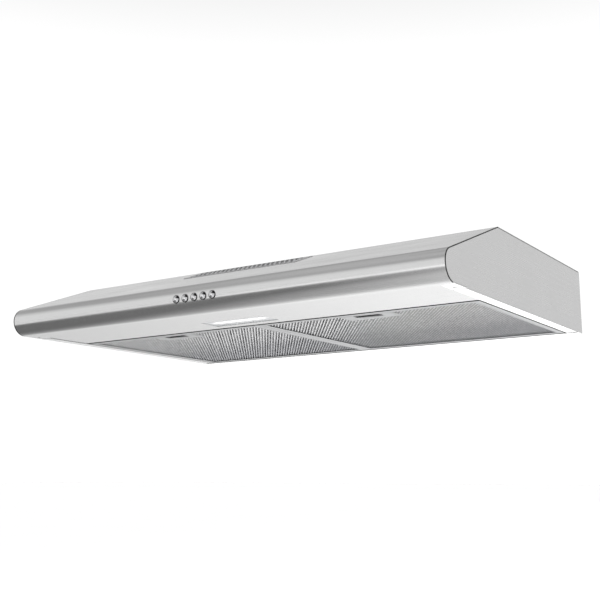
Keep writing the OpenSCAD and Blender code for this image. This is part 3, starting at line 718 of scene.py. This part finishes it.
def rear_panel():
    """The wall plate, and the rear rim that the filters rest on, in the lighter rim copy as
    painted light, with a strip of painted shadow along its front.
    """
    x, front = FACE - SHEET - 0.2, BACK - REAR_RIM
    hang, dark_w, start = 0.6, 0.15, 0.3
    solid = Solid()
    solid.box((-x, BACK - SHEET, 0), (x, BACK, HEIGHT - SHEET), 0, 0.3)
    solid.box((-x, front + start, 0), (x, BACK - SHEET, SHEET), 1)
    solid.box((-x, front, -hang), (x, front + dark_w, SHEET), 2)
    solid.make("wall_plate", ["back", "rim", "shadow"], "hood", 30, ["back_panel"])


slot_shadows()
canopy()
for side, name in SIDES:
    side_panel(side, name)
    rim(side, name)
rear_panel()


# ---------------------------------------------------------------- buttons

def button(i, key):
    """A turned cap with a domed face, and the collar and stem behind it."""
    dome, crown, steps = 6.1, math.radians(56), 12
    cap_r, collar_r, stem_r = 5.08, 6.3, 2.0
    cap_start, collar_start, collar_end, stem_end = 3.4, 14.1, 15.7, 21.7
    profile = [(dome * math.sin(crown * k / steps), dome * (1 - math.cos(crown * k / steps)))
               for k in range(steps + 1)]
    profile += [(cap_r, cap_start), (cap_r, collar_start), (collar_r, collar_start),
                (collar_r, collar_end), (stem_r, collar_end), (stem_r, stem_end), (0, stem_end)]
    front = design(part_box(f"button_{key}")[0]).y
    turn = (Matrix.Translation(((i - 2) * PITCH, front, BUTTON_Z))
            @ Matrix.Rotation(math.radians(-90), 4, "X"))
    solid = Solid()
    solid.lathe(profile, 48, turn, closed=False)
    return solid.make(f"cap_{key}", ["button_silver"], f"button_{key}", 30, [f"button_{key}"])


for i, key in enumerate(BUTTONS):
    button(i, key)


# ---------------------------------------------------------------- filter mesh

def expanded(solid, x0, x1, y0, y1, z, pitch, opening, rise, hole, mat):
    """Expanded metal: diamond cells, left out inside hole.

    opening is the open part of a cell's width, rise how far its strands lean."""
    nx, ny = int((x1 - x0) / pitch[0] * 2), int((y1 - y0) / pitch[1] * 2)
    sx, sy = (x1 - x0) / nx, (y1 - y0) / ny
    hx0, hx1, hy0, hy1 = hole
    verts, faces, corner = [], [], {}

    def node(m, n):
        if (m, n) not in corner:
            corner[m, n] = len(verts)
            verts.append((x0 + m * sx, y0 + n * sy, z))
        return corner[m, n]

    for m in range(1, nx):
        for n in range(1 + m % 2, ny, 2):
            cx, cy = x0 + m * sx, y0 + n * sy
            if hx0 < cx < hx1 and hy0 < cy < hy1:
                continue
            outer = [node(m + 1, n), node(m, n + 1), node(m - 1, n), node(m, n - 1)]
            start = len(verts)
            verts.extend([(cx + sx * opening, cy, z), (cx, cy + sy * opening, z - rise),
                          (cx - sx * opening, cy, z), (cx, cy - sy * opening, z + rise)])
            for i in range(4):
                j = (i + 1) % 4
                faces.append([outer[j], outer[i], start + i, start + j])
    solid.add(verts, faces, mat)


def filter_mesh(name):
    """Two layers of expanded metal under a closed sheet; the upper layer and the sheet take the
    darker wire, as painted shade.
    """
    lo, hi = map(design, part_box(f"filter_mesh_{name}"))
    plate_lo, plate_hi = map(design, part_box(f"latch_plate_{name}"))
    hole = (plate_lo.x, plate_hi.x, lo.y - 5, plate_hi.y)
    solid = Solid()
    # each layer's pitch, open part, lean, and height over the CAD mesh's lower face
    layers = [((5.6, 7.6), 0.64, 0.25, -0.75), ((4.6, 6.2), 0.45, 0.3, 1.2)]
    for mat, (pitch, opening, rise, z) in enumerate(layers):
        expanded(solid, lo.x, hi.x, lo.y, hi.y, lo.z + z, pitch, opening, rise, hole, mat)
    solid.box((lo.x, plate_hi.y, hi.z - 0.6), (hi.x, hi.y, hi.z), 1)
    return solid.make(f"mesh_{name}", ["mesh_aluminium", "inner_mesh"], f"filter_{name}", 20,
                      [f"filter_mesh_{name}"])


def channel_section(top):
    """One side of a filter's frame, cut across: (inwards, up) from its outer lower edge."""
    strip, hem, fold, wall = 11.0, 8.0, 0.45, 0.8
    bend = [(fold * (1 - math.cos(math.radians(a))), fold * (1 - math.sin(math.radians(a))))
            for a in (0, 22, 45, 68, 90)]
    return [(0, top), *bend, (strip - 0.6, 0), (strip, 0.3), (strip, wall),
            (wall + 0.1, wall), (wall, wall + 0.4), (wall, top - wall), (hem, top - wall),
            (hem, top)]


def filter_frame(side, name):
    """Four mitred channels with a rounded outer edge, and two rear tabs."""
    tab_l, tab_w, tab_x, tab_z, lap = 8.0, 24, 110, (1.6, 2.6), 0.8
    set_in, mitre_gap = 0.6, 0.12
    lo, hi = map(design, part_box(f"filter_frame_{name}"))
    x0, x1, y0, y1 = lo.x, hi.x, lo.y, hi.y - tab_l
    x0, x1 = (x0, x1 - set_in) if side > 0 else (x0 + set_in, x1)
    section = channel_section(hi.z)
    n = len(section)
    walls = [[i, (i + 1) % n, n + (i + 1) % n, n + i] for i in range(n)]
    corners = [(x0, y0, 1, 1), (x1, y0, -1, 1), (x1, y1, -1, -1), (x0, y1, 1, -1)]
    solid = Solid()
    for k in range(4):
        a, b = corners[k], corners[(k + 1) % 4]
        along = Vector((b[0] - a[0], b[1] - a[1], 0)).normalized() * mitre_gap
        verts = []
        for corner, shift in ((a, along), (b, -along)):
            verts += [Vector((corner[0] + corner[2] * u, corner[1] + corner[3] * u, z)) + shift
                      for u, z in section]
        # the outer walls take the dark shadow look: painted shade in the gaps round the filter
        dark = 0 if k == 2 + side else 4  # not along the middle of the hood
        solid.add(verts, walls[:dark], 1)
        solid.add(verts, walls[dark:] + [list(range(n)), list(range(n, 2 * n))])
    mid = (x0 + x1) / 2
    for x in (mid - tab_x, mid + tab_x):
        tab = rounded(x - tab_w / 2, x + tab_w / 2, y1 - lap, y1 + tab_l, 1.5)
        solid.prism([(tab, z) for z in tab_z])
    return solid.make(f"frame_{name}", ["filter_aluminium", "shadow"], f"filter_{name}", 40,
                      [f"filter_frame_{name}"])


def latch_plate(name):
    """A plate pressed in round the finger hole, whose edge turns up inside."""
    fold, hole_w, hole_l, press = 2.2, 43, 15, 2.5
    hole_z, edge_z, thick = 0.9, 1.4, 0.8
    lo, hi = map(design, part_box(f"latch_plate_{name}"))
    mid, y0 = (lo.x + hi.x) / 2, lo.y + 5.4
    x0, x1, y1 = mid - hole_w / 2, mid + hole_w / 2, y0 + hole_l
    hole = rounded(x0, x1, y0, y1, 3)
    pressed = rounded(x0 - press, x1 + press, y0 - press, y1 + press, 5)
    flat = [(lo.x + fold, lo.y), (hi.x - fold, lo.y), (hi.x - fold, hi.y - fold),
            (lo.x + fold, hi.y - fold)]
    sunk = {spot(*p) for p in hole}
    down, middle = Vector((0, 0, -1)), Vector((mid, y0 + hole_l / 2, 0))

    def surface(u, v):
        point, z, tilt = Vector((u, v, 0)), 0.0, Vector()
        if spot(u, v) in sunk:
            z, tilt = hole_z, (middle - point).normalized() * 0.6
        elif not (lo.x + 1 < u < hi.x - 1 and v < hi.y - 1):
            z, tilt = edge_z, (point - middle).normalized() * 0.3
        point.z = z
        return point, (down + tilt).normalized()

    # the finger hole's walls take the shadow look: painted shade in the hole
    sheet(f"finger_plate_{name}", rounded(lo.x, hi.x, lo.y, hi.y, 0.8), [hole], surface, thick,
          ["filter_aluminium", "shadow"], f"filter_{name}", [f"latch_plate_{name}"],
          rings=[pressed, flat], edge=lambda u, v: int(spot(u, v) in sunk))


def lens():
    """A milky cover, dished inside a thin rim, on a tray that fills the lamp window."""
    gap, corner, top, face, dish, tray = 3.3, 2.5, 4.2, 1.7, 0.7, 1.6
    lo, hi = map(design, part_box("lamp_lens"))
    window = rounded(lo.x + gap, hi.x - gap, lo.y + gap, hi.y - gap, corner)
    solid = Solid()
    solid.prism([(window, top), (window, face - dish), (inset(window, dish), face)])
    solid.box(lo, (hi.x, hi.y, lo.z + tray), 0, 0.2)
    for a, b in (((lo.x, lo.y), (lo.x + tray, hi.y)), ((hi.x - tray, lo.y), (hi.x, hi.y)),
                 ((lo.x, lo.y), (hi.x, lo.y + tray)), ((lo.x, hi.y - tray), (hi.x, hi.y))):
        solid.box((*a, lo.z + tray), (*b, hi.z))
    solid.make("lamp_cover", ["lamp_diffuser"], "hood", 40, ["lamp_lens"])


def grille_slots(mid):
    """Rows of round-cornered slots, every second row half a pitch aside."""
    rows, columns, corner = 6, 23, 1.25
    pitch_x, pitch_y, slot_w, slot_l = 8.6, 7.0, 5.8, 4.4
    slots = []
    for row in range(rows):
        last = columns - 1 - row % 2
        for column in range(last + 1):
            x = VENT_X + (column - last / 2) * pitch_x
            y = mid + (row - (rows - 1) / 2) * pitch_y
            slots.append(rounded(x - slot_w / 2, x + slot_w / 2, y - slot_l / 2,
                                 y + slot_l / 2, corner, 2))
    return slots


def grille():
    """The vent's plate, a little proud of the slope, and the collar under it."""
    proud, low, border_w, thick = 0.7, 0.15, 0.8, 2.2
    mid = -VENT_TOP - VENT_L / 2
    x0, x1 = VENT_X - VENT_W / 2, VENT_X + VENT_W / 2
    y0, y1 = mid - VENT_L / 2, mid + VENT_L / 2
    outline = rounded(x0, x1, y0, y1, 1.5)
    raised = rounded(x0 + border_w, x1 - border_w, y0 + border_w, y1 - border_w, 1.2)
    border = {spot(*p) for p in outline}
    sin, cos = math.sin(SLOPE), math.cos(SLOPE)

    def surface(u, v):
        w = low if spot(u, v) in border else proud
        point = Vector((u, BEND_Y + v * cos - w * sin, HEIGHT + v * sin + w * cos))
        return point, Vector((0, -sin, cos))

    # the slot walls take the near-black edge look: painted shade in the slots
    sheet("vent_plate", outline, grille_slots(mid), surface, thick, ["vent_plastic", "cut"],
          "hood", ["vent_grille"], rings=[raised],
          edge=lambda u, v: int(spot(u, v) not in border))
    in_by, wall, deep, start = 3.7, 1.2, 4.0, 0.5
    x0, x1, y0, y1 = x0 + in_by, x1 - in_by, y0 + in_by, y1 - in_by
    turn = Matrix.Translation((0, BEND_Y, HEIGHT)) @ Matrix.Rotation(SLOPE, 4, "X")
    solid = Solid()
    for a, b, c, d in ((x0, y0, x1, y0 + wall), (x0, y1 - wall, x1, y1),
                       (x0, y0, x0 + wall, y1), (x1 - wall, y0, x1, y1)):
        block = [(a, b), (c, b), (c, d), (a, d)]
        solid.prism([(block, -deep), (block, -start)], turn)
    solid.make("vent_collar", ["vent_plastic"], "hood", slot=NODE_SLOT["vent_grille"])


lens()
grille()
for side, name in SIDES:
    filter_mesh(name)
    filter_frame(side, name)
    latch_plate(name)


# ---------------------------------------------------------------- springs

def coil(x, z, y0, y1, r, wire):
    """One coil spring along y, whose first and last turns lie close: vertices and faces."""
    turns, steps, sides = 6, 16, 8
    count = turns * steps
    verts = []
    for k in range(count + 1):
        t = k / count
        lift = min(max((t - 1 / turns) / (1 - 2 / turns), 0.0), 1.0)
        closed = wire * (min(t * turns, 1) + max(0.0, (t - 1) * turns + 1))
        y = y0 + wire + closed + lift * (y1 - y0 - 4 * wire)
        a = 2 * math.pi * turns * t
        for j in range(sides):
            b = 2 * math.pi * j / sides
            reach = r + wire * math.cos(b)
            verts.append((x + reach * math.cos(a), y + wire * math.sin(b),
                          z + reach * math.sin(a)))
    faces = [[k * sides + j, k * sides + (j + 1) % sides, (k + 1) * sides + (j + 1) % sides,
              (k + 1) * sides + j] for k in range(count) for j in range(sides)]
    faces += [list(range(sides)), [count * sides + j for j in range(sides)]]
    return verts, faces


def spring(name, node, body, places, ends, r, wire):
    """Coil springs from one depth to another, one at each place."""
    y0, y1 = ends
    solid = Solid()
    for x, z in places:
        solid.add(*coil(x, z, y0, y1, r, wire))
    piece = solid.make(name, ["spring_steel"], body, 50, [node])
    at(places[0][0], y1, places[0][1])
    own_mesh(piece)


for i, key in enumerate(BUTTONS):
    spring(f"coil_{key}", f"spring_{key}", "hood",
           [((i - 2) * PITCH, BUTTON_Z)], ends=(-10.75, -4.05), r=3.4, wire=0.35)
for side, name in SIDES:
    lo, hi = map(design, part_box(f"latch_spring_{name}"))
    mid_x, mid_z, apart = (lo.x + hi.x) / 2, (lo.z + hi.z) / 2, 14
    spring(f"coils_{name}", f"latch_spring_{name}", f"filter_{name}",
           [(mid_x - apart, mid_z), (mid_x + apart, mid_z)], ends=(lo.y, hi.y), r=2.4,
           wire=0.3)


# ---------------------------------------------------------------- duct collar, gland, screws

def turned(name, look, node, profile, steps):
    """A piece turned from its profile on the middle of the CAD node that it stands for."""
    lo, hi = map(design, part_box(node))
    solid = Solid()
    solid.lathe(profile, steps, Matrix.Translation(((lo.x + hi.x) / 2, (lo.y + hi.y) / 2, 0)))
    solid.make(name, [look], "hood", 40, [node])


def collar():
    """A spigot with a rolled top edge, a stiffening bead and a fillet into its flange."""
    lo, hi = map(design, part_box("duct_collar"))
    inner, outer, flange, base, top = DUCT_R, DUCT_R + 1, (hi.x - lo.x) / 2, lo.z, hi.z
    bead, bead_w, crest_w = top - 7, 1.6, 0.6
    bore = [(inner, base), (inner, bead - bead_w), (inner + 0.7, bead - crest_w),
            (inner + 0.7, bead + crest_w), (inner, bead + bead_w), (inner, top - 0.8)]
    roll = [(inner + 0.25, top - 0.25), (inner + 0.8, top), (outer + 0.35, top - 0.3),
            (outer + 0.5, top - 0.9), (outer + 0.3, top - 1.4), (outer, top - 1.6)]
    outside = [(outer, bead + bead_w), (outer + 0.8, bead + crest_w),
               (outer + 0.8, bead - crest_w), (outer, bead - bead_w)]
    foot = [(outer, base + 3), (outer + 0.4, base + 1.8), (outer + 1.9, base + 1),
            (flange - 0.4, base + 1), (flange, base + 0.7), (flange, base)]
    turned("collar", "galvanised", "duct_collar", bore + roll + outside + foot, 96)


def gland():
    """A rubbery gland: a rounded flange with a groove, a neck and a lock nut below."""
    lo, hi = map(design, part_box("cable_gland"))
    bore, neck, nut, top, low = 4.5, 8, (hi.x - lo.x) / 2 - 1, hi.z, lo.z
    groove = [(bore, top - 0.8), (bore + 0.25, top - 0.25), (bore + 0.9, top),
              (bore + 1.6, top - 0.3), (bore + 2.1, top - 0.9), (bore + 2.6, top - 0.3)]
    flange = [(nut - 0.4, top - 0.2), (nut + 0.6, top - 0.8), (nut + 1, top - 1.6),
              (nut + 1, top - 2.5), (neck, top - 2.5)]
    below = [(neck, low + 3), (nut, low + 3), (nut, low), (bore + 0.5, low)]
    turned("gland", "black_plastic", "cable_gland", [(bore, low)] + groove + flange + below, 48)


def islands(node):
    """The points, in mm, of each connected part of a CAD node."""
    work = bmesh.new()
    work.from_mesh(nodes[node].data)
    bmesh.ops.remove_doubles(work, verts=work.verts, dist=1e-6)
    seen, found = set(), []
    for first in work.verts:
        if first.index in seen:
            continue
        stack, group = [first], []
        seen.add(first.index)
        while stack:
            vert = stack.pop()
            group.append(design(nodes[node].matrix_world @ vert.co))
            for e in vert.link_edges:
                other = e.other_vert(vert)
                if other.index not in seen:
                    seen.add(other.index)
                    stack.append(other)
        found.append(group)
    work.free()
    return found


def screws():
    """Pan heads with a cross recess, at the CAD screws' places."""
    head_h, recess_z, recess_w = 2.0, 1.5, 0.3
    solid = Solid()
    for group in islands("pan_screws"):
        xs, ys, zs = zip(*group)
        cx, cy = (min(xs) + max(xs)) / 2, (min(ys) + max(ys)) / 2
        head = (max(xs) - min(xs)) / 2
        wide = [z for x, y, z in group if math.hypot(x - cx, y - cy) > head * 0.9]
        up = abs(max(wide) - max(zs)) < 1e-3
        base, tip = (min(wide), min(zs)) if up else (max(wide), max(zs))
        way, length = (1 if up else -1), abs(tip - base)
        turn = Matrix.Translation((cx, cy, base)) @ Matrix.Diagonal((1, 1, way, 1))
        dome = [(0, head_h), (head * 0.45, 1.9), (head * 0.75, 1.6), (head * 0.93, 1.1),
                (head, 0.5), (head, 0)]
        shank = [(head / 2, 0), (head / 2, -length), (0, -length)]
        solid.lathe(dome + shank, 32, turn, closed=False)
        low, high = sorted((base + way * recess_z, base + way * head_h))
        # the cross recess takes the shadow look: painted shade
        for a, b in ((recess_w, head * 0.55), (head * 0.55, recess_w)):
            solid.box((cx - a, cy - b, low), (cx + a, cy + b, high), 1)
    solid.make("screw_heads", ["screw_zinc", "shadow"], "hood", 40, ["pan_screws"])


collar()
gland()
screws()


# ---------------------------------------------------------------- stage

FLOOR_Z = SHELL_LO.z - 0.75
# a soft dark ellipse painted on the floor as shade, in metres, gives the nose its dark band
BLOB_X, BLOB_Y, BLOB_TURN, BLOB_SIZE = -1.481, -1.103, 0.243, (3.359, 3.713, 1)
BLOB_FADE, BLOB_DARK = (0.259, 0.769), 0.121
# the world's grey by the direction's z, from 0 at the horizon to 1 overhead
SKY = ((0.0, 1.05), (0.40, 1.05), (0.52, 0.87), (0.65, 0.56), (0.88, 0.7), (1.0, 0.04))
# dark patches in front, which the domed buttons mirror: x and z where each fades in, depth
PATCHES = ((0.2, 0.3, 0.28, 0.38, 0.97), (-0.34, -0.24, 0.52, 0.6, 0.9))
# the photo's camera: mm, degrees up from level and left from straight on, lens in mm
CAMERA_AT, CAMERA_UP, CAMERA_LEFT, LENS = (822.3, -970.4, -217.0), 10.628, 34.248, 55.16


def floor_look():
    """White floor, greyer to the sides, with the dark ellipse of painted shade at the front
    left.
    """
    mat, tree, bsdf, coord = shader("floor_white", (0.86, 0.86, 0.855), 0.0, 0.75, 0.2)
    soft = noise(tree, coord, (2, 2, 2))
    tree.links.new(spread(tree, soft, 0.7, 0.8), bsdf.inputs["Roughness"])
    x = axes(tree, coord)[0]
    left = ranged(tree, x, -4.5, -1.3, 0.56, 0.88, smooth=False)
    lift = ranged(tree, x, -2.4, -1.0, 0.0, 0.12, smooth=False)
    right = ranged(tree, x, 0.3, 1.0, 1.0, 0.5)
    mapping = tree.nodes.new("ShaderNodeMapping")
    mapping.vector_type = "TEXTURE"
    mapping.inputs["Location"].default_value = (BLOB_X, BLOB_Y, FLOOR_Z)
    mapping.inputs["Rotation"].default_value = (0, 0, BLOB_TURN)
    mapping.inputs["Scale"].default_value = BLOB_SIZE
    tree.links.new(coord, mapping.inputs["Vector"])
    blob = tree.nodes.new("ShaderNodeTexGradient")
    blob.gradient_type = "SPHERICAL"
    tree.links.new(mapping.outputs["Vector"], blob.inputs["Vector"])
    fall = ranged(tree, blob.outputs["Fac"], *BLOB_FADE, 1.0, BLOB_DARK)
    grey = maths(tree, "MULTIPLY", maths(tree, "ADD", left, lift), right)
    tree.links.new(maths(tree, "MULTIPLY", grey, fall), bsdf.inputs["Base Color"])
    return mat


def floor():
    """A wide plain floor below the hood, which hangs in the air above it."""
    half = 40.0
    mesh = bpy.data.meshes.new("floor")
    corners = ((-half, -half), (half, -half), (half, half), (-half, half))
    mesh.from_pydata([(x, y, FLOOR_Z) for x, y in corners], [], [(0, 1, 2, 3)])
    mesh.materials.append(floor_look())
    add_object("floor", mesh)


def sun(name, towards, strength, angle):
    """A soft light that shows in no reflection."""
    light = bpy.data.lights.new(name, "SUN")
    light.energy = strength
    light.angle = angle
    obj = add_object(name, light)
    obj.rotation_mode = "QUATERNION"
    obj.rotation_quaternion = Vector(towards).to_track_quat("Z", "Y")
    obj.visible_glossy = False


def world():
    """A studio surround: white at the sides, grey to black overhead, two dark patches."""
    sky = bpy.data.worlds.new("studio")
    sky.use_nodes = True
    tree = sky.node_tree
    coord = tree.nodes.new("ShaderNodeTexCoord")
    x, y, z = axes(tree, coord.outputs["Generated"])
    ramp = tree.nodes.new("ShaderNodeValToRGB")
    ramp.color_ramp.interpolation = "EASE"
    elements = ramp.color_ramp.elements
    while len(elements) < len(SKY):
        elements.new(0.5)
    for element, (position, grey) in zip(elements, SKY):
        element.position = position
        element.color = (grey, grey, grey, 1)
    tree.links.new(z, ramp.inputs["Fac"])
    patches = []
    for x0, x1, z0, z1, depth in PATCHES:
        across = ranged(tree, x, x0, x1, 0.0, 1.0)
        high = ranged(tree, z, z0, z1, 0.0, depth)
        patches.append(maths(tree, "MULTIPLY", across, high))
    front = ranged(tree, y, -0.1, 0.1, 1.0, 0.0)
    patch = maths(tree, "MULTIPLY", maths(tree, "MAXIMUM", *patches), front)
    shade = tree.nodes.new("ShaderNodeVectorMath")
    shade.operation = "SCALE"
    tree.links.new(ramp.outputs["Color"], shade.inputs[0])
    tree.links.new(maths(tree, "SUBTRACT", 1.0, patch), shade.inputs["Scale"])
    tree.links.new(shade.outputs[0], tree.nodes["Background"].inputs["Color"])
    bpy.context.scene.world = sky


def camera():
    """The photo's camera: below the hood, to its right, looking up at it."""
    data = bpy.data.cameras.new("camera")
    data.sensor_width = 36.0
    data.lens = LENS
    obj = add_object("camera", data)
    obj.location = at(*CAMERA_AT)
    obj.rotation_euler = (math.radians(90 + CAMERA_UP), 0, math.radians(CAMERA_LEFT))
    bpy.context.scene.camera = obj


camera()
floor()
world()
sun("softbox", towards=(0.15, 0.1, 1), strength=4.05, angle=1.2)
bpy.context.scene.view_settings.view_transform = "Standard"
